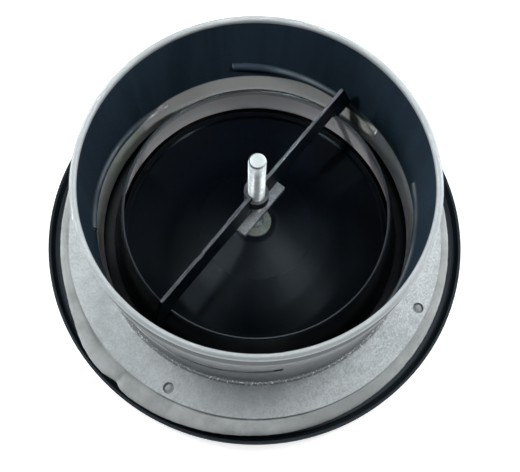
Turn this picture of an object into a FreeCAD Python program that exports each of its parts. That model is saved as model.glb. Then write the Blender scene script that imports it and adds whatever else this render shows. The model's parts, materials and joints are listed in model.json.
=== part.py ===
import FreeCAD, Part
import math
import os

# Round ceiling supply air valve for a 125 mm duct, standing on its room face.
# +Z points into the duct, the origin is the centre of the room face, and the
# bridge lies along X. All sizes are in millimetres.

# Duct size and sheet
duct_diameter = 125.0
duct_clearance_radial = 0.1
frame_sheet = 0.8
ring_sheet = 1.0

# Room-side ring of the valve
ring_outer_radius = 83.2
ring_lip_height = 3.6
ring_lip_bend = 2.6
throat_edge_radius = 49.4
throat_edge_height = 30.5
throat_flare_angle = 14.0
throat_flare_bend = 8.0

# Foam strip between ring and mounting frame
gasket_thickness = 4.7
gasket_lip_clearance = 0.6
gasket_collar_gap = 3.5
gasket_clearance = 0.3

# Mounting frame
frame_flange_radius = 74.4
frame_height = 61.6
collar_step_in = 1.4
collar_root_bend = 2.2
rim_roll_radius = 1.2
bead_centre_below_rim = 12.1
bead_crest_length = 6.0
bead_shoulder_length = 2.4
bead_bend = 1.4
bead_tail = 0.6
screw_hole_radius = 2.1
screw_edge_distance = 3.4
screw_count = 4
screw_first_angle = 11.0

# Bayonet ramps pressed inwards from the collar wall
ramp_count = 4
ramp_low_angle = -15.0
ramp_span_angle = 62.0
ramp_low_height = 20.9
ramp_rise = 10.7
ramp_depth = 1.5
ramp_half_height = 2.4

# Bridge across the throat
bridge_sheet = 1.2
bridge_top_height = 47.5
bridge_depth = 14.0
bridge_end_radius = 51.6
bridge_corner = 2.0
bridge_shoulder = 1.5
bridge_seat_overhang = 0.6
bridge_seat_clearance = 0.1
foot_clearance = 0.4
foot_height = 1.5
foot_corner = 0.5
foot_wall_clearance = 0.8
notch_position = -31.0
notch_width = 3.0
notch_depth = 0.8
eye_half_length = 8.0
eye_slit = 0.3
eye_top_band = 3.0
eye_middle_band = 5.0
eye_clearance = 0.25
eye_bend = 0.5

# Guide plate under the bridge
plate_length = 24.0
plate_width = 8.5
plate_thickness = 2.0
plate_corner = 0.6

# Threaded spindle, M6
spindle_diameter = 6.0
spindle_top_height = 71.7
spindle_chamfer = 0.6
thread_fit = 0.05

# Disc
disc_sheet = 1.0
disc_radius = 53.8
disc_face_height = 0.8
disc_edge_height = 5.3
disc_edge_bend = 3.0
disc_lip_width = 2.5
disc_lip_bend = 0.9
cone_seat_clearance = 0.45
cone_margin = 1.9
cone_bend = 4.0
cone_top_height = 14.6
cone_top_radius = 8.5
washer_radius = 6.0
washer_thickness = 1.2
nut_across_flats = 10.0
nut_thickness = 5.0
spindle_end_clearance = 1.2

# Worked-out sizes
spindle_radius = spindle_diameter / 2
throat_slope = math.tan(math.radians(throat_flare_angle))
rim_radius = duct_diameter / 2 - duct_clearance_radial
collar_outer_radius = rim_radius - collar_step_in
collar_inner_radius = collar_outer_radius - frame_sheet
gasket_outer_radius = ring_outer_radius - ring_lip_bend - gasket_lip_clearance
gasket_inner_radius = collar_outer_radius + gasket_collar_gap
gasket_bottom = ring_sheet + gasket_clearance
flange_bottom = gasket_bottom + gasket_thickness + gasket_clearance
rim_height = frame_height - rim_roll_radius
bridge_bottom_height = bridge_top_height - bridge_depth
screw_circle_radius = frame_flange_radius - screw_edge_distance
ramp_pitch = ramp_rise * 360 / ramp_span_angle


def point(x, z):
    return FreeCAD.Vector(x, 0, z)


def line_crossing(start_a, run_a, start_b, run_b):
    cross = run_a.x * run_b.z - run_a.z * run_b.x
    gap = start_b - start_a
    share = (gap.x * run_b.z - gap.z * run_b.x) / cross
    return start_a + run_a * share


def moved_sideways(corners, distance):
    """The open outline moved to its left by a distance, corner for corner."""
    runs = []
    starts = []
    for first, second in zip(corners, corners[1:]):
        run = (second - first).normalize()
        runs.append(run)
        starts.append(first + FreeCAD.Vector(-run.z, 0, run.x) * distance)
    moved = [starts[0]]
    for index in range(1, len(runs)):
        moved.append(line_crossing(starts[index - 1], runs[index - 1], starts[index], runs[index]))
    last_run = runs[-1]
    moved.append(corners[-1] + FreeCAD.Vector(-last_run.z, 0, last_run.x) * distance)
    return moved


def rounded_edges(corners, bends):
    """Straight runs joined by tangent arcs; bends holds one radius per inner corner."""
    edges = []
    start = corners[0]
    for index, bend in enumerate(bends, 1):
        corner = corners[index]
        back = (corners[index - 1] - corner).normalize()
        ahead = (corners[index + 1] - corner).normalize()
        half_angle = back.getAngle(ahead) / 2
        reach = bend / math.tan(half_angle)
        middle_way = (back + ahead).normalize()
        arc_start = corner + back * reach
        arc_end = corner + ahead * reach
        arc_middle = corner + middle_way * (bend / math.sin(half_angle) - bend)
        edges.append(Part.LineSegment(start, arc_start).toShape())
        edges.append(Part.Arc(arc_start, arc_middle, arc_end).toShape())
        start = arc_end
    edges.append(Part.LineSegment(start, corners[-1]).toShape())
    return edges


def bends_on_side(corners, bends, distance):
    """Bend radii of an outline moved to its left, from those of the middle line."""
    moved = []
    for index, bend in enumerate(bends, 1):
        first = corners[index] - corners[index - 1]
        second = corners[index + 1] - corners[index]
        turns_left = first.x * second.z - first.z * second.x > 0
        moved.append(bend - distance if turns_left else bend + distance)
    return moved


def spun_sheet(corners, bends, sheet):
    """A sheet of even thickness spun about Z; corners and bends give its middle line."""
    half = sheet / 2
    left = moved_sideways(corners, half)
    right = moved_sideways(corners, -half)
    left_edges = rounded_edges(left, bends_on_side(corners, bends, half))
    right_edges = rounded_edges(right, bends_on_side(corners, bends, -half))
    start_cap = Part.LineSegment(left[0], right[0]).toShape()
    end_cap = Part.LineSegment(left[-1], right[-1]).toShape()
    edges = left_edges + [end_cap] + right_edges + [start_cap]
    outline = Part.Wire(Part.__sortEdges__(edges))
    return Part.Face(outline).revolve(FreeCAD.Vector(0, 0, 0), FreeCAD.Vector(0, 0, 1), 360)


def turned(shape, angle):
    copy = shape.copy()
    copy.rotate(FreeCAD.Vector(0, 0, 0), FreeCAD.Vector(0, 0, 1), angle)
    return copy


def upright_cylinder(radius, bottom, top):
    return Part.makeCylinder(radius, top - bottom, FreeCAD.Vector(0, 0, bottom))


def centred_box(length, width, bottom, top):
    corner = FreeCAD.Vector(-length / 2, -width / 2, bottom)
    return Part.makeBox(length, width, top - bottom, corner)


def throat_radius_at(height):
    """Radius of the middle of the throat wall at a height in its straight stretch."""
    return throat_edge_radius + (throat_edge_height - height) * throat_slope


def ramp_height_at(angle):
    return ramp_low_height + (angle - ramp_low_angle) / ramp_span_angle * ramp_rise


def make_valve_ring():
    flange_middle = ring_sheet / 2
    lip_radius = ring_outer_radius - ring_sheet / 2
    corners = [
        point(throat_edge_radius, throat_edge_height),
        point(throat_radius_at(flange_middle), flange_middle),
        point(lip_radius, flange_middle),
        point(lip_radius, ring_lip_height),
    ]
    return spun_sheet(corners, [throat_flare_bend, ring_lip_bend], ring_sheet)


def make_foam_gasket():
    top = gasket_bottom + gasket_thickness
    ring = upright_cylinder(gasket_outer_radius, gasket_bottom, top)
    return ring.cut(upright_cylinder(gasket_inner_radius, gasket_bottom, top))


def ramp_bar(depth_inside, half_height, outer_radius):
    """One helical bar with a rounded crown that points inwards, at the first ramp's place."""
    crown = Part.Arc(
        point(collar_inner_radius, -half_height),
        point(collar_inner_radius - depth_inside, 0),
        point(collar_inner_radius, half_height),
    ).toShape()
    lower = point(collar_inner_radius, -half_height)
    upper = point(collar_inner_radius, half_height)
    lower_back = point(outer_radius, -half_height)
    upper_back = point(outer_radius, half_height)
    sides = [
        Part.LineSegment(upper, upper_back).toShape(),
        Part.LineSegment(upper_back, lower_back).toShape(),
        Part.LineSegment(lower_back, lower).toShape(),
    ]
    section = Part.Wire(Part.__sortEdges__([crown] + sides))
    path = Part.makeHelix(ramp_pitch, ramp_rise, collar_inner_radius)
    bar = Part.Wire(path.Edges).makePipeShell([section], True, True)
    bar.translate(FreeCAD.Vector(0, 0, ramp_low_height))
    return turned(bar, ramp_low_angle)


def make_bead():
    """The folded edge of the sheet outside the wall, solid; the wall stays smooth inside."""
    wall_radius = (collar_outer_radius + collar_inner_radius) / 2
    bead_centre = rim_height - bead_centre_below_rim
    crest_half = bead_crest_length / 2
    shoulder_half = crest_half + bead_shoulder_length
    bottom = bead_centre - shoulder_half - bead_tail
    top = bead_centre + shoulder_half + bead_tail
    corners = [
        point(collar_outer_radius, bottom),
        point(collar_outer_radius, bead_centre - shoulder_half),
        point(rim_radius, bead_centre - crest_half),
        point(rim_radius, bead_centre + crest_half),
        point(collar_outer_radius, bead_centre + shoulder_half),
        point(collar_outer_radius, top),
    ]
    edges = rounded_edges(corners, [bead_bend] * (len(corners) - 2))
    back = [corners[-1], point(wall_radius, top), point(wall_radius, bottom), corners[0]]
    for start, end in zip(back, back[1:]):
        edges.append(Part.LineSegment(start, end).toShape())
    outline = Part.Wire(Part.__sortEdges__(edges))
    return Part.Face(outline).revolve(FreeCAD.Vector(0, 0, 0), FreeCAD.Vector(0, 0, 1), 360)


def make_collar_and_flange():
    flange_middle = flange_bottom + frame_sheet / 2
    wall_radius = (collar_outer_radius + collar_inner_radius) / 2
    corners = [
        point(frame_flange_radius, flange_middle),
        point(wall_radius, flange_middle),
        point(wall_radius, rim_height),
    ]
    sheet = spun_sheet(corners, [collar_root_bend], frame_sheet)
    return sheet.fuse(make_bead()).removeSplitter()


def make_mounting_frame():
    frame = make_collar_and_flange()
    roll_centre = FreeCAD.Vector(0, 0, rim_height)
    frame = frame.fuse(Part.makeTorus(rim_radius - rim_roll_radius, rim_roll_radius, roll_centre))
    ridge = ramp_bar(ramp_depth, ramp_half_height, collar_outer_radius - frame_sheet / 2)
    groove_half_height = ramp_half_height - frame_sheet / 2
    groove = ramp_bar(ramp_depth - frame_sheet, groove_half_height, rim_radius)
    for number in range(ramp_count):
        angle = number * 360 / ramp_count
        frame = frame.fuse(turned(ridge, angle))
        frame = frame.cut(turned(groove, angle))
    flange_top = flange_bottom + frame_sheet
    hole = upright_cylinder(screw_hole_radius, flange_bottom, flange_top)
    hole.translate(FreeCAD.Vector(screw_circle_radius, 0, 0))
    for number in range(screw_count):
        frame = frame.cut(turned(hole, screw_first_angle + number * 360 / screw_count))
    return frame


def bridge_half_outline():
    """Outline of the +X half of the flat blank, from the top middle round to the bottom middle."""
    foot_radius = collar_inner_radius - foot_wall_clearance
    foot_bottom = ramp_height_at(0) + ramp_half_height + foot_clearance
    edge_rise = ring_sheet / 2 * math.sin(math.radians(throat_flare_angle))
    seat_top = throat_edge_height + edge_rise + bridge_seat_clearance
    wall_half = ring_sheet / 2 / math.cos(math.radians(throat_flare_angle))
    leg_gap = wall_half + bridge_seat_clearance
    seat_inner_radius = throat_radius_at(seat_top) - wall_half - bridge_seat_overhang
    return [
        point(0, bridge_top_height),
        point(bridge_end_radius, bridge_top_height),
        point(foot_radius, foot_bottom + foot_height),
        point(foot_radius, foot_bottom),
        point(throat_radius_at(foot_bottom) + leg_gap, foot_bottom),
        point(throat_radius_at(seat_top) + leg_gap, seat_top),
        point(seat_inner_radius, seat_top),
        point(seat_inner_radius - bridge_shoulder, bridge_bottom_height),
        point(0, bridge_bottom_height),
    ]


def make_bridge_blank():
    corners = bridge_half_outline()
    wire = Part.makePolygon(corners + [corners[0]])
    half = Part.Face(wire).extrude(FreeCAD.Vector(0, bridge_sheet, 0))
    half.translate(FreeCAD.Vector(0, -bridge_sheet / 2, 0))
    blank = half.fuse(turned(half, 180)).removeSplitter()
    blank = round_corner(blank, bridge_end_radius, bridge_top_height, bridge_corner)
    foot_radius = collar_inner_radius - foot_wall_clearance
    foot_bottom = ramp_height_at(0) + ramp_half_height + foot_clearance
    blank = round_corner(blank, foot_radius, foot_bottom, foot_corner)
    notch = centred_box(notch_width, 2 * bridge_sheet, bridge_top_height - notch_depth, bridge_top_height)
    notch.translate(FreeCAD.Vector(notch_position, 0, 0))
    return blank.cut(notch)


def round_corner(blank, radius, height, bend):
    """The blank with the corners at a distance from the axis and a height rounded at both ends."""
    picked = []
    for edge in blank.Edges:
        middle = edge.CenterOfMass
        at_corner = abs(abs(middle.x) - radius) < bend / 4 and abs(middle.z - height) < bend / 4
        if at_corner and abs(middle.y) < bridge_sheet / 4:
            picked.append(edge)
    return blank.makeFillet(bend, picked)


def eye_band(side, bottom, top):
    """One slit band of the bridge, bulged round the spindle to +Y (side 1) or -Y (side -1)."""
    inner_radius = spindle_radius + eye_clearance
    outer_radius = inner_radius + bridge_sheet
    legs = centred_box(2 * eye_half_length, bridge_sheet, bottom, top)
    loop = upright_cylinder(outer_radius, bottom, top)
    far_side = centred_box(2 * outer_radius, outer_radius, bottom, top)
    far_side.translate(FreeCAD.Vector(0, -side * (outer_radius + bridge_sheet) / 2, 0))
    band = legs.fuse(loop.cut(far_side)).removeSplitter()
    shoulders = []
    for edge in band.Edges:
        middle = edge.CenterOfMass
        on_shoulder = abs(middle.y - side * bridge_sheet / 2) < eye_bend / 10
        stands = abs(edge.Vertexes[0].Z - edge.Vertexes[-1].Z) > eye_slit
        if stands and on_shoulder and abs(middle.x) < eye_half_length - eye_bend:
            shoulders.append(edge)
    band = band.makeFillet(eye_bend, shoulders)
    return band.cut(upright_cylinder(inner_radius, bottom, top))


def make_bridge():
    blank = make_bridge_blank()
    gap = centred_box(2 * eye_half_length, 2 * bridge_sheet, bridge_bottom_height, bridge_top_height)
    blank = blank.cut(gap)
    first_slit = bridge_top_height - eye_top_band
    second_slit = first_slit - eye_middle_band
    bands = [
        eye_band(1, first_slit + eye_slit / 2, bridge_top_height),
        eye_band(-1, second_slit + eye_slit / 2, first_slit - eye_slit / 2),
        eye_band(1, bridge_bottom_height, second_slit - eye_slit / 2),
    ]
    return blank.fuse(bands).removeSplitter()


def make_guide_plate():
    plate = centred_box(plate_length, plate_width, bridge_bottom_height - plate_thickness, bridge_bottom_height)
    upright = []
    for edge in plate.Edges:
        if abs(edge.Vertexes[0].Z - edge.Vertexes[-1].Z) > plate_thickness / 2:
            upright.append(edge)
    plate = plate.makeFillet(plate_corner, upright)
    bottom = bridge_bottom_height - plate_thickness
    return plate.cut(upright_cylinder(spindle_radius + thread_fit, bottom, bridge_bottom_height))


def make_spindle():
    bottom = disc_face_height + disc_sheet + spindle_end_clearance
    rod = upright_cylinder(spindle_radius, bottom, spindle_top_height)
    ends = [edge for edge in rod.Edges if edge.Closed]
    return rod.makeChamfer(spindle_chamfer, ends)


def make_disc_face():
    face_middle = disc_face_height + disc_sheet / 2
    wall_radius = disc_radius - disc_sheet / 2
    lip_middle = disc_face_height + disc_edge_height - disc_sheet / 2
    corners = [
        point(0, face_middle),
        point(wall_radius, face_middle),
        point(wall_radius, lip_middle),
        point(disc_radius - disc_lip_width, lip_middle),
    ]
    return spun_sheet(corners, [disc_edge_bend, disc_lip_bend], disc_sheet)


def make_disc_cone():
    margin_middle = disc_face_height + disc_edge_height - 1.5 * disc_sheet
    edge_radius = disc_radius - disc_sheet - cone_seat_clearance
    top_middle = cone_top_height - disc_sheet / 2
    corners = [
        point(spindle_radius + thread_fit, top_middle),
        point(cone_top_radius, top_middle),
        point(edge_radius - cone_margin, margin_middle),
        point(edge_radius, margin_middle),
    ]
    return spun_sheet(corners, [cone_bend, cone_bend], disc_sheet)


def make_cone_washer():
    top = cone_top_height + washer_thickness
    washer = upright_cylinder(washer_radius, cone_top_height, top)
    return washer.cut(upright_cylinder(spindle_radius + thread_fit, cone_top_height, top))


def make_disc_nut():
    top = cone_top_height - disc_sheet
    bottom = top - nut_thickness
    corner_radius = nut_across_flats / 2 / math.cos(math.radians(30))
    corners = []
    for number in range(6):
        angle = math.radians(60 * number)
        corners.append(FreeCAD.Vector(corner_radius * math.cos(angle), corner_radius * math.sin(angle), bottom))
    hexagon = Part.Face(Part.makePolygon(corners + [corners[0]]))
    nut = hexagon.extrude(FreeCAD.Vector(0, 0, nut_thickness))
    return nut.cut(upright_cylinder(spindle_radius + thread_fit, bottom, top))


pieces = {
    "mounting_frame": make_mounting_frame,
    "foam_gasket": make_foam_gasket,
    "valve_ring": make_valve_ring,
    "bridge": make_bridge,
    "guide_plate": make_guide_plate,
    "spindle": make_spindle,
    "disc_cone": make_disc_cone,
    "disc_face": make_disc_face,
    "cone_washer": make_cone_washer,
    "disc_nut": make_disc_nut,
}

os.makedirs("parts", exist_ok=True)
for name, make in pieces.items():
    shape = make()
    shape.exportStep("parts/" + name + ".step")
    print(name, "valid", shape.isValid(), "solids", len(shape.Solids), "volume", round(shape.Volume, 1))
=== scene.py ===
import bpy
import bmesh
import json
import math
from mathutils import Euler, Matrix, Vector, noise


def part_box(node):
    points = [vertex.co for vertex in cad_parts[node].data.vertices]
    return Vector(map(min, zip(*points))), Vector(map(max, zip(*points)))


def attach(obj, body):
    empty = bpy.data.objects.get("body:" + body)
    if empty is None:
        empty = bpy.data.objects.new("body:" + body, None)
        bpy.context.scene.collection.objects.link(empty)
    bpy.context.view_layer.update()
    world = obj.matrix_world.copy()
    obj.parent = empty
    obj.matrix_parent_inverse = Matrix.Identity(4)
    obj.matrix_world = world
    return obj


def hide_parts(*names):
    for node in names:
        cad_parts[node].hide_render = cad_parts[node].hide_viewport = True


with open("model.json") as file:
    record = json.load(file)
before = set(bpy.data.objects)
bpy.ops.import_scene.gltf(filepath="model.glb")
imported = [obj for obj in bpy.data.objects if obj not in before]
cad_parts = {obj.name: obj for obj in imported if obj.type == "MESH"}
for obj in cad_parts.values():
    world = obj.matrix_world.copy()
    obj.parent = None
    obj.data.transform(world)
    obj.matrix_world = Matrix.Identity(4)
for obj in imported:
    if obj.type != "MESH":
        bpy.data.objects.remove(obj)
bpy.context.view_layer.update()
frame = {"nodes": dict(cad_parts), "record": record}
nodes = frame["nodes"]
scene = bpy.context.scene


# small helpers for the node trees
def newMaterial(name):
    material = bpy.data.materials.new(name)
    material.use_nodes = True
    tree = material.node_tree
    tree.nodes.clear()
    output = tree.nodes.new("ShaderNodeOutputMaterial")
    shader = tree.nodes.new("ShaderNodeBsdfPrincipled")
    tree.links.new(shader.outputs["BSDF"], output.inputs["Surface"])
    return material, tree, shader


def connect(tree, value, socket):
    if isinstance(value, bpy.types.NodeSocket):
        tree.links.new(value, socket)
    else:
        socket.default_value = value


def objectPoint(tree, scale=(1, 1, 1)):
    place = tree.nodes.new("ShaderNodeTexCoord")
    mapping = tree.nodes.new("ShaderNodeMapping")
    mapping.inputs["Scale"].default_value = scale
    tree.links.new(place.outputs["Object"], mapping.inputs["Vector"])
    return mapping.outputs["Vector"]


def noiseField(tree, point, scale, detail, rough):
    field = tree.nodes.new("ShaderNodeTexNoise")
    field.inputs["Scale"].default_value = scale
    field.inputs["Detail"].default_value = detail
    field.inputs["Roughness"].default_value = rough
    tree.links.new(point, field.inputs["Vector"])
    return field.outputs["Fac"]


def stretchedNoise(tree, scales):
    return noiseField(tree, objectPoint(tree, scales), 1, 3, 0.6)


def cellField(tree, point, scale, output):
    field = tree.nodes.new("ShaderNodeTexVoronoi")
    field.inputs["Scale"].default_value = scale
    tree.links.new(point, field.inputs["Vector"])
    return field.outputs[output]


def remap(tree, value, low, high, toLow=0.0, toHigh=1.0):
    node = tree.nodes.new("ShaderNodeMapRange")
    node.interpolation_type = "SMOOTHSTEP"
    node.inputs["From Min"].default_value = low
    node.inputs["From Max"].default_value = high
    node.inputs["To Min"].default_value = toLow
    node.inputs["To Max"].default_value = toHigh
    tree.links.new(value, node.inputs["Value"])
    return node.outputs["Result"]


def below(tree, value, low, high):
    return remap(tree, value, low, high, 1, 0)


def blendColours(tree, factor, first, second, mode="MIX"):
    node = tree.nodes.new("ShaderNodeMix")
    node.data_type = "RGBA"
    node.blend_type = mode
    for socket, value in (("Factor", factor), ("A", first), ("B", second)):
        connect(tree, value, node.inputs[socket])
    return node.outputs["Result"]


def calculate(tree, operation, first, second):
    node = tree.nodes.new("ShaderNodeMath")
    node.operation = operation
    for socket, value in zip(node.inputs, (first, second)):
        connect(tree, value, socket)
    return node.outputs["Value"]


def product(tree, first, *others):
    for other in others:
        first = calculate(tree, "MULTIPLY", first, other)
    return first


def added(tree, first, second):
    return calculate(tree, "ADD", first, second)


def larger(tree, first, second):
    return calculate(tree, "MAXIMUM", first, second)


def remainder(tree, value):
    return calculate(tree, "SUBTRACT", 1.0, value)


def window(tree, value, start, full, fade, stop):
    # 1 between full and fade, 0 outside start and stop
    return product(tree, remap(tree, value, start, full), below(tree, value, fade, stop))


def shared(tree, first, share, second):
    return added(tree, product(tree, first, share), product(tree, second, 1 - share))


def bumped(tree, height, strength, distance, under=None):
    node = tree.nodes.new("ShaderNodeBump")
    node.inputs["Strength"].default_value = strength
    node.inputs["Distance"].default_value = distance
    tree.links.new(height, node.inputs["Height"])
    if under is not None:
        tree.links.new(under, node.inputs["Normal"])
    return node.outputs["Normal"]


def combine(tree, operation, first, second):
    node = tree.nodes.new("ShaderNodeVectorMath")
    node.operation = operation
    for socket, value in ((node.inputs[0], first), (node.inputs[1], second)):
        connect(tree, value, socket)
    return node.outputs["Value" if operation == "DOT_PRODUCT" else "Vector"]


def awayFromAxis(tree, place):
    flat = combine(tree, "MULTIPLY", place.outputs["Object"], (1, 1, 0))
    return combine(tree, "NORMALIZE", flat, (0, 0, 0))


def facesAxis(tree, low=-0.5, high=-0.3):
    # 1 where a wall looks towards the valve's axis, 0 where it looks away or lies flat
    place = tree.nodes.new("ShaderNodeTexCoord")
    outwards = combine(tree, "DOT_PRODUCT", awayFromAxis(tree, place), place.outputs["Normal"])
    return below(tree, outwards, low, high)


def facesUp(tree, low=0.75, high=0.92):
    # 1 on the faces that look along the valve's axis
    place = tree.nodes.new("ShaderNodeTexCoord")
    return remap(tree, combine(tree, "DOT_PRODUCT", place.outputs["Normal"], (0, 0, 1)), low, high)


def towards(tree, direction):
    # cosine of the angle round the valve's axis between the point and a direction
    place = tree.nodes.new("ShaderNodeTexCoord")
    return combine(tree, "DOT_PRODUCT", awayFromAxis(tree, place), direction)


def tilted(tree, cells, amount):
    # every zinc crystal leans its own way
    surface = tree.nodes.new("ShaderNodeNewGeometry")
    lean = combine(tree, "SUBTRACT", cells, (0.5, 0.5, 0.5))
    lean = combine(tree, "MULTIPLY", lean, (amount, amount, amount))
    return combine(tree, "NORMALIZE", combine(tree, "ADD", surface.outputs["Normal"], lean), (0, 0, 0))


def axisParts(tree, point):
    # height along the valve's axis, and distance from it
    split = tree.nodes.new("ShaderNodeSeparateXYZ")
    tree.links.new(point, split.inputs["Vector"])
    x, y = split.outputs["X"], split.outputs["Y"]
    flat = added(tree, product(tree, x, x), product(tree, y, y))
    return split.outputs["Z"], calculate(tree, "SQRT", flat, 0.0)


def seenOrMirrored(tree):
    # 1 for the camera and for reflections, 0 for the light that falls on things
    path = tree.nodes.new("ShaderNodeLightPath")
    seen = path.outputs["Is Camera Ray"]
    for ray in ("Is Glossy Ray", "Is Transmission Ray"):
        seen = larger(tree, seen, path.outputs[ray])
    return seen


# galvanised sheet: spangled zinc outside, dark slate inside the collar above a pale band;
# heights and radii are in metres
galvanisedValues = {
    "pale": (0.64, 0.68, 0.695, 1),
    "dull": (0.44, 0.475, 0.49, 1),
    "spangleScale": 1900,
    "warpScale": 300,
    "spangleShare": 0.45,
    "blotchScale": 85,
    "blotchShare": 0.5,
    "contrast": (0.3, 0.7),
    "lean": 0.085,
    "flatFrom": (0.5, 0.9),
    "metallic": 0.92,
    "roughness": (0.38, 0.50),
    "roughSpangle": (0.2, 0.8),
    "coatedRougher": 0.22,
    "specular": 0.12,
    "streaks": (25, 25, 2600),
    "streakBump": (0.06, 0.0001),
    "rim": (0.50, 0.535, 0.55, 1),
    "rimFrom": (0.0588, 0.0596),
    "rimRougher": 0.30,
    # the drawn wall outside: painted shade on its steep face, in the creases on the bead's upper flank and
    # under the rim, and in the pressed grooves
    "wallShade": (0.44, 0.44, 0.445, 1),
    "wallFrom": (0.0078, 0.0092),
    "steep": (0.85, 0.6),
    "paintedShade": (0.10, 0.11, 0.115, 1),
    "creases": [(0.0512, 0.0518, 0.0530, 0.0540), (0.0572, 0.0580, 0.0588, 0.0590)],
    "creaseShade": 0.8,
    "pressedWithin": (0.06075, 0.06085),
    "pressedShade": 0.25,
    # where the wall bends into the flange: painted shade with painted glints in speckles
    "rootWithin": (0.0619, 0.0627),
    "rootBelow": (0.0088, 0.0100),
    "rootShade": (0.27, 0.29, 0.30, 1),
    "rootGlints": (0.90, 0.94, 0.95, 1),
    "glintScale": 1300,
    "glintSpeckles": (0.55, 0.66),
    # the slate inside, and the ramps' ledges and ends that take its colour; on the cut ends this is painted
    # shade that hides their glints
    "slate": (0.0225, 0.0400, 0.0590, 1),
    "slateStreak": (0.0160, 0.0295, 0.0460, 1),
    "slateFrom": (0.0228, 0.0240),
    "slateTo": (0.0594, 0.0597),
    "stains": (95, 95, 9),
    "stainContrast": (0.35, 0.65),
    # painted shade on one side of the collar's inside
    "slateShade": (0.006, 0.012, 0.019, 1),
    "slateShadedSide": (-0.731, 0.682, 0),
    "slateShadeFrom": (0.55, 0.95),
    "slateShadeMost": 0.6,
    "turnedIn": (0.2, 0.4),
    "ledgeWithin": (0.06025, 0.0604),
    "ledgeBelow": (0.0215, 0.0225),
    "endHeights": (0.0289, 0.0292, 0.0306, 0.0310),
    "endWithin": (0.0608, 0.0609),
    "endTilt": (0.2, 0.45),
    # painted highlight on the ramps' crowns
    "crownHighlight": (0.17, 0.20, 0.215, 1),
    "crownHighlightWithin": (0.0592, 0.0600),
    "crownHighlightTilt": (0.1, 0.7),
    "patchScale": 38,
    "patches": (0.38, 0.62, 0.1, 1),
    # the pale band under the slate, with painted light that makes it lighter towards its foot
    "band": (0.53, 0.55, 0.54, 1),
    "paintedBandLight": (0.93, 0.95, 0.94, 1),
    "bandFootBelow": (0.0090, 0.0155),
}


def zincOutside(tree, point, height, radius, pressed, spangle):
    v = galvanisedValues
    zinc = blendColours(tree, remap(tree, spangle, *v["contrast"]), v["dull"], v["pale"])
    # painted shade darkens the steep outside wall
    wall = product(tree, remap(tree, height, *v["wallFrom"]), facesUp(tree, *v["steep"]))
    zinc = blendColours(tree, wall, zinc, v["wallShade"], "MULTIPLY")
    # painted shade in the pressed grooves and the creases
    paintedShade = product(tree, pressed, v["pressedShade"])
    for crease in v["creases"]:
        paintedShade = larger(tree, paintedShade, product(tree, window(tree, height, *crease), v["creaseShade"]))
    zinc = blendColours(tree, paintedShade, zinc, v["paintedShade"])
    # painted shade with painted glints at the wall's root
    root = product(tree, below(tree, radius, *v["rootWithin"]), below(tree, height, *v["rootBelow"]))
    glintSpeckles = remap(tree, noiseField(tree, point, v["glintScale"], 2, 0.6), *v["glintSpeckles"])
    return blendColours(tree, root, zinc, blendColours(tree, glintSpeckles, v["rootShade"], v["rootGlints"]))


def insideMask(tree, height, radius, pressed):
    # the collar's inside, with what shows from there of the pressed ramps
    v = galvanisedValues
    ledge = larger(tree, below(tree, radius, *v["ledgeWithin"]), below(tree, height, *v["ledgeBelow"]))
    edges = product(tree, pressed, ledge, facesAxis(tree, *v["turnedIn"]))
    # painted shade: the ramps' up-facing cut ends take the inside colours, which hides their glints
    end = product(tree, window(tree, height, *v["endHeights"]), below(tree, radius, *v["endWithin"]))
    edges = larger(tree, edges, product(tree, end, facesUp(tree, *v["endTilt"])))
    return larger(tree, facesAxis(tree), edges)


def slateInside(tree, point, radius):
    v = galvanisedValues
    stains = remap(tree, stretchedNoise(tree, v["stains"]), *v["stainContrast"])
    slate = blendColours(tree, stains, v["slate"], v["slateStreak"])
    # painted shade on one side of the collar's inside
    slateShade = remap(tree, towards(tree, v["slateShadedSide"]), *v["slateShadeFrom"], 0, v["slateShadeMost"])
    slate = blendColours(tree, slateShade, slate, v["slateShade"])
    # painted highlight along the ramps' upper side, broken into patches
    patches = remap(tree, noiseField(tree, point, v["patchScale"], 2, 0.5), *v["patches"])
    crown = product(tree, below(tree, radius, *v["crownHighlightWithin"]), facesUp(tree, *v["crownHighlightTilt"]))
    return blendColours(tree, product(tree, crown, patches), slate, v["crownHighlight"])


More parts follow.
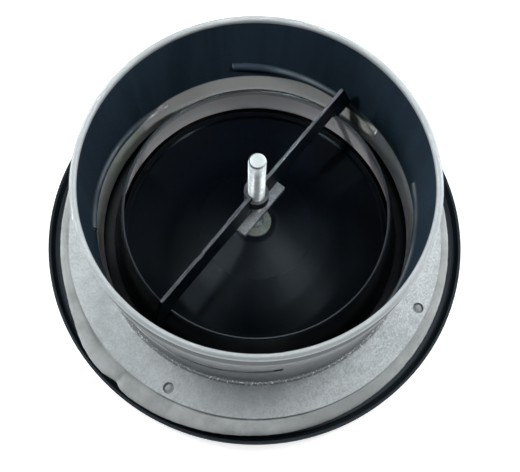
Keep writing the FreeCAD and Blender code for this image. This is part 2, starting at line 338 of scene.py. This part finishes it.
def galvanisedSheet():
    v = galvanisedValues
    material, tree, shader = newMaterial("galvanisedSheet")
    point = objectPoint(tree)
    height, radius = axisParts(tree, point)
    cells = cellField(tree, point, v["spangleScale"], "Color")
    split = tree.nodes.new("ShaderNodeSeparateColor")
    tree.links.new(cells, split.inputs["Color"])
    warped = noiseField(tree, point, v["warpScale"], 4, 0.6)
    blotch = noiseField(tree, point, v["blotchScale"], 4, 0.65)
    spangle = shared(tree, split.outputs["Red"], v["spangleShare"], warped)
    spangle = shared(tree, spangle, v["blotchShare"], blotch)
    rim = remap(tree, height, *v["rimFrom"])
    pressed = below(tree, radius, *v["pressedWithin"])
    zinc = zincOutside(tree, point, height, radius, pressed, spangle)
    zinc = blendColours(tree, rim, zinc, v["rim"])
    inside = insideMask(tree, height, radius, pressed)
    dark = product(tree, remap(tree, height, *v["slateFrom"]), below(tree, height, *v["slateTo"]), inside)
    low = product(tree, below(tree, height, *v["slateFrom"]), inside)
    # painted light: the band is lighter towards its foot
    band = blendColours(tree, remap(tree, height, *v["bandFootBelow"]), v["paintedBandLight"], v["band"])
    colour = blendColours(tree, dark, blendColours(tree, low, zinc, band), slateInside(tree, point, radius))
    tree.links.new(colour, shader.inputs["Base Color"])
    coated = larger(tree, dark, low)
    tree.links.new(product(tree, remainder(tree, coated), v["metallic"]), shader.inputs["Metallic"])
    rough = added(tree, remap(tree, spangle, *v["roughSpangle"], *v["roughness"]),
                  product(tree, coated, v["coatedRougher"]))
    tree.links.new(added(tree, rough, product(tree, rim, v["rimRougher"])), shader.inputs["Roughness"])
    shader.inputs["Specular IOR Level"].default_value = v["specular"]
    # the crystals show on the flat parts, faint drawing streaks on the steep ones
    plain = tree.nodes.new("ShaderNodeNewGeometry").outputs["Normal"]
    flat = remap(tree, combine(tree, "DOT_PRODUCT", plain, (0, 0, 1)), *v["flatFrom"])
    mixed = tree.nodes.new("ShaderNodeMix")
    mixed.data_type = "VECTOR"
    tree.links.new(product(tree, flat, remainder(tree, rim)), mixed.inputs["Factor"])
    tree.links.new(plain, mixed.inputs[4])
    tree.links.new(tilted(tree, cells, v["lean"]), mixed.inputs[5])
    streaks = stretchedNoise(tree, v["streaks"])
    tree.links.new(bumped(tree, streaks, *v["streakBump"], mixed.outputs[1]), shader.inputs["Normal"])
    return material


# black enamel on the ring, the bridge and the disc
enamelValues = {
    "colour": (0.0005, 0.0022, 0.0042, 1),
    "worn": (0.0016, 0.0036, 0.0060, 1),
    "wornFrom": (0.45, 0.8, 0, 0.5),
    "cloudScale": 45,
    "roughCloud": (0.3, 0.75),
    "roughness": (0.22, 0.27),
    "peelScale": 900,
    "peelBump": (0.04, 0.0001),
    "indexOfRefraction": 1.45,
    "tint": (0.72, 0.88, 1.0, 1),
    # the throat's wall, bare in its grey undercoat with painted light that makes it lighter towards its foot,
    # and its rubbed cut edge
    "throat": (0.61, 0.605, 0.615, 1),
    "throatFootLight": (0.86, 0.85, 0.865, 1),
    "throatLip": (0.36, 0.355, 0.365, 1),
    "throatHeights": (0.0036, 0.0046, 0.0301, 0.0304),
    "footTo": (0.006, 0.0252),
    "lipFrom": (0.0252, 0.0267),
    "edge": (0.055, 0.058, 0.062, 1),
    "edgeAbove": (0.0301, 0.0304),
    "edgeWithin": (0.0493, 0.0494),
    "bareRougher": 0.5,
    "mattBelow": (0.0090, 0.0100),
    "mattRoughness": 0.9,
    # painted light on the ring's flare near the throat, and a painted reflection of the light overhead on one
    # side of it
    "flareLight": (0.16, 0.175, 0.19, 1),
    "flareLightWithin": (0.0560, 0.0622),
    "flareLightBelow": (0.012, 0.014),
    "flareLightTilt": (0.3, 0.6),
    "flareReflection": (0.50, 0.54, 0.57, 1),
    "flareReflectionSide": (-0.375, 0.927, 0),
    "flareReflectionFrom": (0.80, 0.97),
    # the disc is smoother towards its edge
    "discColour": (0.0002, 0.0012, 0.0028, 1),
    "discWorn": (0.0008, 0.0022, 0.0040, 1),
    "discSmooth": (0.014, 0.042),
    "discRoughness": (0.30, 0.18),
    # the bridge's top edges were cut after the enamel
    "cut": (0.090, 0.100, 0.110, 1),
    "cutDull": (0.045, 0.050, 0.056, 1),
    "scratches": (300, 3000, 300),
    "scratchContrast": (0.35, 0.65),
    "bridgeRougher": 0.3,
    "specular": {"": 0.45, "ring": 0.6, "disc": 0.30, "bridge": 0.12},
}


def ringEnamel(tree, point, colour, rough):
    v = enamelValues
    height, radius = axisParts(tree, point)
    grey = product(tree, window(tree, height, *v["throatHeights"]), facesAxis(tree))
    # painted light: the throat's wall is lighter towards its foot
    wall = blendColours(tree, remap(tree, height, *v["footTo"]), v["throatFootLight"], v["throat"])
    wall = blendColours(tree, remap(tree, height, *v["lipFrom"]), wall, v["throatLip"])
    top = product(tree, remap(tree, height, *v["edgeAbove"]), below(tree, radius, *v["edgeWithin"]))
    # painted light on the flare near the throat
    flareLightZone = product(tree, facesUp(tree, *v["flareLightTilt"]), below(tree, radius, *v["flareLightWithin"]),
                   below(tree, height, *v["flareLightBelow"]))
    # painted reflection on one side of the flare
    flareReflectionZone = remap(tree, towards(tree, v["flareReflectionSide"]), *v["flareReflectionFrom"])
    colour = blendColours(tree, flareLightZone, colour, blendColours(tree, flareReflectionZone, v["flareLight"], v["flareReflection"]))
    colour = blendColours(tree, grey, blendColours(tree, top, colour, v["edge"]), wall)
    rough = added(tree, rough, product(tree, larger(tree, grey, top), v["bareRougher"]))
    deep = product(tree, facesAxis(tree), below(tree, height, *v["mattBelow"]))
    return colour, larger(tree, rough, product(tree, deep, v["mattRoughness"]))


def discEnamel(tree, point, cloud):
    v = enamelValues
    radius = axisParts(tree, point)[1]
    colour = blendColours(tree, remap(tree, cloud, *v["wornFrom"]), v["discColour"], v["discWorn"])
    return colour, remap(tree, radius, *v["discSmooth"], *v["discRoughness"])


def bridgeEnamel(tree, colour, rough):
    v = enamelValues
    scratches = remap(tree, stretchedNoise(tree, v["scratches"]), *v["scratchContrast"])
    cut = blendColours(tree, scratches, v["cutDull"], v["cut"])
    return blendColours(tree, facesUp(tree), colour, cut), added(tree, rough, v["bridgeRougher"])


def blackEnamel(name, part=""):
    v = enamelValues
    material, tree, shader = newMaterial(name)
    point = objectPoint(tree)
    cloud = noiseField(tree, point, v["cloudScale"], 4, 0.6)
    colour = blendColours(tree, remap(tree, cloud, *v["wornFrom"]), v["colour"], v["worn"])
    rough = remap(tree, cloud, *v["roughCloud"], *v["roughness"])
    if part == "ring":
        colour, rough = ringEnamel(tree, point, colour, rough)
    if part == "disc":
        colour, rough = discEnamel(tree, point, cloud)
    if part == "bridge":
        colour, rough = bridgeEnamel(tree, colour, rough)
    tree.links.new(colour, shader.inputs["Base Color"])
    tree.links.new(rough, shader.inputs["Roughness"])
    peel = noiseField(tree, point, v["peelScale"], 2, 0.5)
    tree.links.new(bumped(tree, peel, *v["peelBump"]), shader.inputs["Normal"])
    shader.inputs["IOR"].default_value = v["indexOfRefraction"]
    shader.inputs["Specular IOR Level"].default_value = v["specular"][part]
    shader.inputs["Specular Tint"].default_value = v["tint"]
    return material


# zinc plate: bright on the nut, duller on the spindle, scratched on the plate and the washer
zincValues = {
    "zincPlate": {"bright": (0.74, 0.80, 0.83, 1), "dull": (0.56, 0.61, 0.62, 1), "roughness": (0.30, 0.40)},
    "zincSpindle": {"bright": (0.34, 0.375, 0.39, 1), "dull": (0.22, 0.245, 0.255, 1),
                    "roughness": (0.36, 0.46)},
    "zincGuide": {"bright": (0.36, 0.39, 0.42, 1), "dull": (0.21, 0.23, 0.25, 1), "roughness": (0.36, 0.48)},
    "zincWasher": {"bright": (0.32, 0.36, 0.34, 1), "dull": (0.21, 0.24, 0.225, 1),
                   "roughness": (0.36, 0.48)},
}
zincShared = {
    "cloudScale": 420,
    "grain": (2600, 900, 2600),
    "cloudShare": 0.5,
    "mottle": (0.4, 0.62),
    "roughCloud": (0.3, 0.7),
    "metallic": 0.95,
    "grainBump": (0.12, 0.0001),
}
# darker in the thread's roots; painted shade on the chamfer and under the guide plate, and a painted dark
# reflection in a stripe on the side towards the camera; the sawn end is matt and pale
threadValues = {
    "paintedShade": (0.050, 0.056, 0.060, 1),
    "rootWithin": (0.00255, 0.00285),
    "darkStripeSide": (-0.788, -0.616, 0),
    "darkStripeFrom": (0.90, 0.99),
    "darkStripeMost": 0.55,
    "darkStripeBelow": (0.0655, 0.0690),
    "underPlateBelow": (0.0290, 0.0320),
    "underPlateMost": 0.75,
    "sawnFrom": (0.0710, 0.0712),
    "sawn": (0.36, 0.40, 0.41, 1),
    "sawnMetallic": 0.10,
}


def threadShadeAndSawnEnd(tree, point, colour, metallic):
    v = threadValues
    height, radius = axisParts(tree, point)
    end = remap(tree, height, *v["sawnFrom"])
    # darker in the thread's roots, and painted shade on the chamfer round the sawn end
    paintedShade = larger(tree, below(tree, radius, *v["rootWithin"]), end)
    # painted shade on the spindle below the guide plate
    paintedShade = larger(tree, paintedShade, remap(tree, height, *v["underPlateBelow"], v["underPlateMost"], 0))
    # a painted dark reflection in a stripe on the side towards the camera
    darkStripe = remap(tree, towards(tree, v["darkStripeSide"]), *v["darkStripeFrom"], 0, v["darkStripeMost"])
    paintedShade = larger(tree, paintedShade, product(tree, darkStripe, below(tree, height, *v["darkStripeBelow"])))
    colour = blendColours(tree, paintedShade, colour, v["paintedShade"])
    sawn = product(tree, facesUp(tree), end)
    lost = product(tree, sawn, metallic - v["sawnMetallic"])
    return blendColours(tree, sawn, colour, v["sawn"]), calculate(tree, "SUBTRACT", metallic, lost)


def zincPlate(name):
    v, looks = zincShared, zincValues[name]
    material, tree, shader = newMaterial(name)
    point = objectPoint(tree)
    cloud = noiseField(tree, point, v["cloudScale"], 4, 0.65)
    grain = stretchedNoise(tree, v["grain"])
    mottle = remap(tree, shared(tree, cloud, v["cloudShare"], grain), *v["mottle"])
    colour = blendColours(tree, mottle, looks["bright"], looks["dull"])
    metallic = v["metallic"]
    if name == "zincSpindle":
        colour, metallic = threadShadeAndSawnEnd(tree, point, colour, metallic)
    connect(tree, metallic, shader.inputs["Metallic"])
    tree.links.new(colour, shader.inputs["Base Color"])
    tree.links.new(remap(tree, cloud, *v["roughCloud"], *looks["roughness"]), shader.inputs["Roughness"])
    tree.links.new(bumped(tree, grain, *v["grainBump"]), shader.inputs["Normal"])
    return material


# pale closed-cell foam
foamLooks = {
    "pale": (0.54, 0.565, 0.57, 1),
    "shade": (0.36, 0.385, 0.39, 1),
    "cloudScale": 120,
    "shadeFrom": (0.3, 0.75),
    # painted shade on one side of the strip
    "foamShadedSide": (-0.469, -0.883, 0),
    "foamShadeFrom": (0.93, 0.995),
    "foamShadeMost": 0.8,
    "roughness": 0.95,
    "specular": 0.2,
    "sheen": 0.15,
    "poreScale": 1900,
    "poreBump": (0.25, 0.0004),
    "fibreScale": 2600,
    "fibreBump": (0.4, 0.0003),
}


def paleFoam():
    v = foamLooks
    material, tree, shader = newMaterial("paleFoam")
    point = objectPoint(tree)
    # painted shade on one side of the strip
    foamSideShade = remap(tree, towards(tree, v["foamShadedSide"]), *v["foamShadeFrom"], 0, v["foamShadeMost"])
    cloud = remap(tree, noiseField(tree, point, v["cloudScale"], 4, 0.6), *v["shadeFrom"])
    colour = blendColours(tree, larger(tree, foamSideShade, cloud), v["pale"], v["shade"])
    tree.links.new(colour, shader.inputs["Base Color"])
    shader.inputs["Roughness"].default_value = v["roughness"]
    shader.inputs["Specular IOR Level"].default_value = v["specular"]
    shader.inputs["Sheen Weight"].default_value = v["sheen"]
    pores = bumped(tree, cellField(tree, point, v["poreScale"], "Distance"), *v["poreBump"])
    fibre = noiseField(tree, point, v["fibreScale"], 3, 0.7)
    tree.links.new(bumped(tree, fibre, *v["fibreBump"], pores), shader.inputs["Normal"])
    return material


finishes = {
    "galvanised_sheet": galvanisedSheet(),
    "black_enamel": blackEnamel("blackEnamel"),
    "zinc_plated": zincPlate("zincPlate"),
    "pale_foam": paleFoam(),
}


def dress(node, material):
    mesh = nodes[node].data
    if not mesh.materials:
        mesh.materials.append(material)
    for i in range(len(mesh.materials)):
        mesh.materials[i] = material


for entry in frame["record"]["subparts"]:
    dress(entry["node"], finishes[entry["material_slot"]])
dress("valve_ring", blackEnamel("blackEnamelRing", "ring"))
dress("bridge", blackEnamel("blackEnamelBridge", "bridge"))
discFinish = blackEnamel("blackEnamelDisc", "disc")
dress("disc_cone", discFinish)
dress("disc_face", discFinish)
dress("guide_plate", zincPlate("zincGuide"))
dress("cone_washer", zincPlate("zincWasher"))
print("finishes on the sheet-metal pieces")


def meshObject(name, bm):
    mesh = bpy.data.meshes.new(name)
    bm.to_mesh(mesh)
    bm.free()
    piece = bpy.data.objects.new(name, mesh)
    scene.collection.objects.link(piece)
    return piece


def spunOutline(outline, steps, closed):
    bm = bmesh.new()
    verts = [bm.verts.new((r, 0, z)) for r, z in outline]
    following = verts[1:] + verts[:1] if closed else verts[1:]
    edges = [bm.edges.new(pair) for pair in zip(verts, following)]
    bmesh.ops.spin(bm, geom=verts + edges, cent=(0, 0, 0), axis=(0, 0, 1), dvec=(0, 0, 0),
                   angle=2 * math.pi, steps=steps, use_merge=True, use_duplicate=False)
    bmesh.ops.remove_doubles(bm, verts=bm.verts, dist=1e-7)
    bmesh.ops.recalc_face_normals(bm, faces=bm.faces)
    return bm


def softStep(value, start, over):
    return max(0.0, min(1.0, (value - start) / over))


# threaded spindle, M6 with a coarse 1 mm pitch
spindleValues = {
    "pitch": 0.001,
    "crest": 0.003,
    "root": 0.00242,
    # one pitch of the thread's outline: root flat, flank, crest flat, flank
    "outline": [("root", 0.0), ("root", 0.12), ("crest", 0.44), ("crest", 0.58), ("root", 0.9),
                ("root", 1.0)],
    "chamfer": 0.0006,
    "sides": 28,
    "spareTurns": 1.5,
    "weld": 1e-6,
}


def makeSpindle():
    v = spindleValues
    low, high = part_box("spindle")
    turns = math.ceil((high.z - low.z) / v["pitch"]) + 2
    bm = bmesh.new()
    start = low.z - v["pitch"] * v["spareTurns"]
    verts = [bm.verts.new((v[place], 0, start + share * v["pitch"])) for place, share in v["outline"]]
    edges = [bm.edges.new(pair) for pair in zip(verts, verts[1:])]
    bmesh.ops.spin(bm, geom=verts + edges, cent=(0, 0, 0), axis=(0, 0, 1),
                   dvec=(0, 0, v["pitch"] / v["sides"]), angle=2 * math.pi * turns,
                   steps=v["sides"] * turns, use_merge=False, use_duplicate=False)
    bmesh.ops.remove_doubles(bm, verts=bm.verts, dist=v["weld"])
    for z, normal in ((low.z, (0, 0, -1)), (high.z, (0, 0, 1))):
        bmesh.ops.bisect_plane(bm, geom=bm.verts[:] + bm.edges[:] + bm.faces[:], dist=1e-7,
                               plane_co=(0, 0, z), plane_no=normal, clear_outer=True)
    # chamfered ends
    for vert in bm.verts:
        depth = min(high.z - vert.co.z, vert.co.z - low.z)
        flat = Vector((vert.co.x, vert.co.y))
        most = v["crest"] - v["chamfer"] + max(depth, 0)
        if flat.length > most:
            flat *= most / flat.length
            vert.co.x, vert.co.y = flat
    bmesh.ops.remove_doubles(bm, verts=bm.verts, dist=v["weld"])
    bmesh.ops.holes_fill(bm, edges=[e for e in bm.edges if e.is_boundary], sides=0)
    bmesh.ops.recalc_face_normals(bm, faces=bm.faces)
    piece = meshObject("threadedSpindle", bm)
    piece.data.materials.append(zincPlate("zincSpindle"))
    for face in piece.data.polygons:
        face.use_smooth = False
    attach(piece, "screw")
    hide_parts("spindle")


makeSpindle()
print("threaded spindle")


# foam strip bedded between the flange and the valve ring, in metres
foamValues = {
    "joint": 178,  # degrees, where the strip's ends meet
    "segments": 480,
    "inner": 0.0645,
    "flange": 0.0745,  # outside it the foam puffs up beside the flange
    # the strip's section: where each point is measured from, and how far off it lies
    "outline": [("inner", 0, "bottom", 0.0004), ("inner", 0.0006, "bottom", 0),
                ("outer", -0.0040, "bottom", 0), ("outer", -0.0012, "bottom", 0.0001),
                ("outer", -0.0002, "bottom", 0.0009), ("outer", 0, "bottom", 0.0021),
                ("outer", 0.0001, "top", -0.0015), ("outer", -0.0001, "top", -0.0006),
                ("outer", -0.0006, "top", 0), ("outer", -0.0014, "top", 0.00048),
                ("flange", 0.0014, "top", 0.0008), ("flange", 0.0004, "top", 0.00056),
                ("flange", 0.0001, "top", 0), ("flange", -0.0010, "top", 0)]
               + [("flange", -0.0014 - 0.0004 * step, "top", 0) for step in range(11)]
               + [("inner", 0.0008, "top", 0), ("inner", 0, "top", -0.0005), ("inner", 0, "bottom", 0.0020)],
    # bearing from the joint on, and how far the strip was laid off its true edge, in millimetres
    "laid": [(0, 0.6), (1.5, 1.3), (5, 1.7), (14, 1.4), (34, 0.5), (60, -0.5), (90, -1.5), (130, -2.3),
             (172, -1.9), (220, -1.2), (272, -1.2), (310, -1.9), (329, -1.7), (337, -0.8), (341, 0.0),
             (346, 1.2), (351, 1.6), (355, 1.5), (357.5, 0.5), (359, 0.1), (360, 0.2)],
    "laidFrom": 0.0715,
    "bulgeFrom": 0.45,  # it bulges over the lip only above this share of its height
    "bulgeOver": 0.25,
    "fuzz": 0.00022,
    "fuzzParts": [(0.6, 500), (1.0, 1900)],
    "fuzzRise": (0.4, 0.6),  # at the foot, and how much more at the top
    "waveHeight": 0.0003,
    "waveScale": 160,
    "dipDepth": 0.0006,  # at the joint
    "dipWidth": 0.45,
    "dipInside": 0.3,
    # it is pressed up into the flange's screw holes, at these bearings in degrees
    "holes": (11, 101, 191, 281),
    "holeRadius": 0.071,
    "holeWidth": 0.00195,
    "pressedUp": 0.0009,
    "pressedSteep": 2.5,
}


def foamEdge(angle):
    # outer edge against the solid's radius: the strip was bent round by hand
    turn = (math.degrees(angle) - foamValues["joint"]) % 360
    laid = foamValues["laid"]
    for (a, low), (b, high) in zip(laid, laid[1:]):
        if a <= turn <= b:
            return (low + (high - low) * (turn - a) / (b - a)) / 1000
    return laid[-1][1] / 1000


def shapeFoam(vert, bottom, top, outer):
    v = foamValues
    angle = math.atan2(vert.co.y, vert.co.x)
    share = softStep(math.hypot(vert.co.x, vert.co.y), v["laidFrom"], outer - v["laidFrom"])
    rise = (vert.co.z - bottom) / (top - bottom)
    laid = foamEdge(angle)
    if laid > 0:
        laid *= softStep(rise, v["bulgeFrom"], v["bulgeOver"])
    fuzz = sum(part * noise.noise(vert.co * scale) for part, scale in v["fuzzParts"])
    low, more = v["fuzzRise"]
    grow = laid * share + v["fuzz"] * fuzz * share ** 3 * (low + more * rise)
    vert.co.x += math.cos(angle) * grow
    vert.co.y += math.sin(angle) * grow
    turn = (math.degrees(angle) - v["joint"] + 180) % 360 - 180
    dip = v["dipDepth"] * math.exp(-(turn / v["dipWidth"]) ** 2)
    dip *= v["dipInside"] + (1 - v["dipInside"]) * share
    for bearing in v["holes"]:
        hole = Vector((math.cos(math.radians(bearing)), math.sin(math.radians(bearing)))) * v["holeRadius"]
        off = (Vector((vert.co.x, vert.co.y)) - hole).length
        if rise > 0.95 and off < v["holeWidth"]:
            vert.co.z += v["pressedUp"] * min(1.0, v["pressedSteep"] * (1 - off / v["holeWidth"]))
    if rise > 0.5:
        wave = noise.noise(vert.co * v["waveScale"] + Vector((7, 0, 0))) - 0.5
        vert.co.z += share * v["waveHeight"] * wave - dip


def makeFoam():
    v = foamValues
    low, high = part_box("foam_gasket")
    measures = {"inner": v["inner"], "outer": high.x, "flange": v["flange"], "bottom": low.z, "top": high.z}
    outline = [(measures[side] + off, measures[level] + lift) for side, off, level, lift in v["outline"]]
    bm = spunOutline(outline, v["segments"], True)
    for vert in bm.verts:
        shapeFoam(vert, low.z, high.z, high.x)
    piece = meshObject("foamStrip", bm)
    for face in piece.data.polygons:
        face.use_smooth = True
    smooth = piece.modifiers.new("soften", "SUBSURF")
    smooth.levels = smooth.render_levels = 1
    piece.data.materials.append(finishes["pale_foam"])
    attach(piece, "seal")
    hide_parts("foam_gasket")


makeFoam()
print("foam strip")


# floor, backdrop and soft studio light: pale low down, dark overhead, a softbox on each side
floorValues = {
    "radius": 12.0,
    "sides": 256,
    "gap": 0.00008,  # keeps the floor off the ring's front face
    "colour": (0.80, 0.80, 0.80, 1),
    "roughness": 0.9,
    "specular": 0.1,
    "glow": 0.70,  # the camera and the reflections see the floor paler than its light makes it
    # a dark well under the part, hidden by the ring, takes the disc and the ring when they are lowered; its
    # dark colour is painted shade, seen in the gap round the disc and as a contact shadow under the ring's
    # lip
    "wellRadius": 0.08325,
    "wellDepth": 0.027,
    "wellShade": (0.02, 0.02, 0.02, 1),
    "wellBelow": (-0.0010, -0.0004),
}


def makeFloor():
    v = floorValues
    outline = [(0, -v["wellDepth"]), (v["wellRadius"], -v["wellDepth"]), (v["wellRadius"], -v["gap"]),
               (v["radius"], -v["gap"])]
    bm = spunOutline(outline, v["sides"], False)
    if max(bm.faces, key=lambda face: face.calc_area()).normal.z < 0:
        bmesh.ops.reverse_faces(bm, faces=bm.faces)
    floor = meshObject("floor", bm)
    material, tree, shader = newMaterial("paleFloor")
    shader.inputs["Roughness"].default_value = v["roughness"]
    shader.inputs["Specular IOR Level"].default_value = v["specular"]
    shader.inputs["Emission Color"].default_value = (1, 1, 1, 1)
    height = axisParts(tree, objectPoint(tree))[0]
    outside = remap(tree, height, *v["wellBelow"])
    # painted shade in the well
    tree.links.new(blendColours(tree, outside, v["wellShade"], v["colour"]), shader.inputs["Base Color"])
    glow = product(tree, seenOrMirrored(tree), outside, v["glow"])
    tree.links.new(glow, shader.inputs["Emission Strength"])
    floor.data.materials.append(material)


# heights in the sky are sines of the angle above the horizon
skyValues = {
    "tint": (0.97, 0.99, 1.0, 1),
    "horizon": 0.95,
    "zenith": 0.02,
    "fade": (0.22, 0.72),
    "backdrop": (0.26, 0.36),  # up to here the camera and the reflections see a plain white backdrop
    "darkSide": (-0.788, -0.616, 0),  # the room is dimmer behind the camera
    "dimFrom": (0.1, 0.9),
    "dimmed": 0.42,
    # a wide softbox overhead: its middle and soft edges, towards the camera and across
    "topGlow": 1.35,
    "topMiddle": -0.12,
    "topDeep": (0.19, 0.345),
    "topAcross": (-0.616, 0.788, 0),
    "topWide": (0.36, 0.48),
    "topAbove": (0.5, 0.6),
    # the camera hangs before it: the notch's middle, its soft edge and what is left of the glow
    "notchMiddle": 0.045,
    "notchEdge": (0.03, 0.14),
    "notchLeft": 0.25,
}


def makeSky():
    v = skyValues
    world = bpy.data.worlds.new("studio")
    scene.world = world
    world.use_nodes = True
    tree = world.node_tree
    tree.nodes.clear()
    output = tree.nodes.new("ShaderNodeOutputWorld")
    back = tree.nodes.new("ShaderNodeBackground")
    back.inputs["Color"].default_value = v["tint"]
    direction = tree.nodes.new("ShaderNodeTexCoord").outputs["Generated"]
    split = tree.nodes.new("ShaderNodeSeparateXYZ")
    tree.links.new(direction, split.inputs["Vector"])
    rise = split.outputs["Z"]
    behind = combine(tree, "DOT_PRODUCT", direction, v["darkSide"])
    across = combine(tree, "DOT_PRODUCT", direction, v["topAcross"])
    sky = product(tree, remap(tree, rise, *v["fade"], v["horizon"], v["zenith"]),
                  remap(tree, behind, *v["dimFrom"], 1, v["dimmed"]))
    deep = calculate(tree, "ABSOLUTE", calculate(tree, "SUBTRACT", behind, v["topMiddle"]), 0.0)
    wide = calculate(tree, "ABSOLUTE", across, 0.0)
    fromNotch = calculate(tree, "ABSOLUTE", calculate(tree, "SUBTRACT", across, v["notchMiddle"]), 0.0)
    top = product(tree, below(tree, deep, *v["topDeep"]), below(tree, wide, *v["topWide"]),
                  remap(tree, fromNotch, *v["notchEdge"], v["notchLeft"], 1),
                  remap(tree, rise, *v["topAbove"]))
    sky = added(tree, sky, product(tree, top, v["topGlow"]))
    seen = product(tree, seenOrMirrored(tree), below(tree, rise, *v["backdrop"]))
    tree.links.new(added(tree, product(tree, sky, remainder(tree, seen)), seen), back.inputs["Strength"])
    tree.links.new(back.outputs["Background"], output.inputs["Surface"])


lampValues = {
    "distance": 1.0,
    "lamps": [
        # name, bearing and height in degrees, size, power, spread in degrees, point aimed at
        ("softLeft", 95, 31, 0.45, 7.6, 180, (0, 0, 0.03)),
        ("softRight", -20, 31, 0.45, 7.6, 180, (0, 0, 0.03)),
        # two gridded softboxes beside the camera look down into the throat
        ("gridLeft", 158, 60, 0.08, 0.0190, 7, (0.020, 0.0155, 0.025)),
        ("gridRight", -82, 60, 0.08, 0.0190, 7, (0.020, 0.0155, 0.025)),
    ],
}


def makeLamps():
    for name, bearing, rise, size, power, spread, goal in lampValues["lamps"]:
        turn, tilt = math.radians(bearing), math.radians(rise)
        direction = Vector((math.cos(turn) * math.cos(tilt), math.sin(turn) * math.cos(tilt), math.sin(tilt)))
        lamp = bpy.data.lights.new(name, "AREA")
        lamp.shape = "SQUARE"
        lamp.size = size
        lamp.energy = power
        lamp.spread = math.radians(spread)
        lampObject = bpy.data.objects.new(name, lamp)
        lampObject.location = direction * lampValues["distance"]
        aim = Vector(goal) - lampObject.location
        lampObject.rotation_euler = aim.to_track_quat("-Z", "Y").to_euler()
        scene.collection.objects.link(lampObject)


makeFloor()
makeSky()
makeLamps()
print("floor and light")


# camera at the photograph's angle
cameraValues = {
    "place": (-0.08172, -0.06084, 0.29231),
    "turn": (19.0969, -0.8719, -51.9106),  # degrees
    "sensor": 36,
    "lens": 52.312,
    "nearest": 0.005,
}


def makeCamera():
    v = cameraValues
    lens = bpy.data.cameras.new("photoCamera")
    lens.sensor_width = v["sensor"]
    lens.lens = v["lens"]
    lens.clip_start = v["nearest"]
    camera = bpy.data.objects.new("photoCamera", lens)
    camera.location = v["place"]
    camera.rotation_euler = Euler([math.radians(a) for a in v["turn"]], "XYZ")
    scene.collection.objects.link(camera)
    scene.camera = camera


makeCamera()
scene.view_settings.view_transform = "Standard"
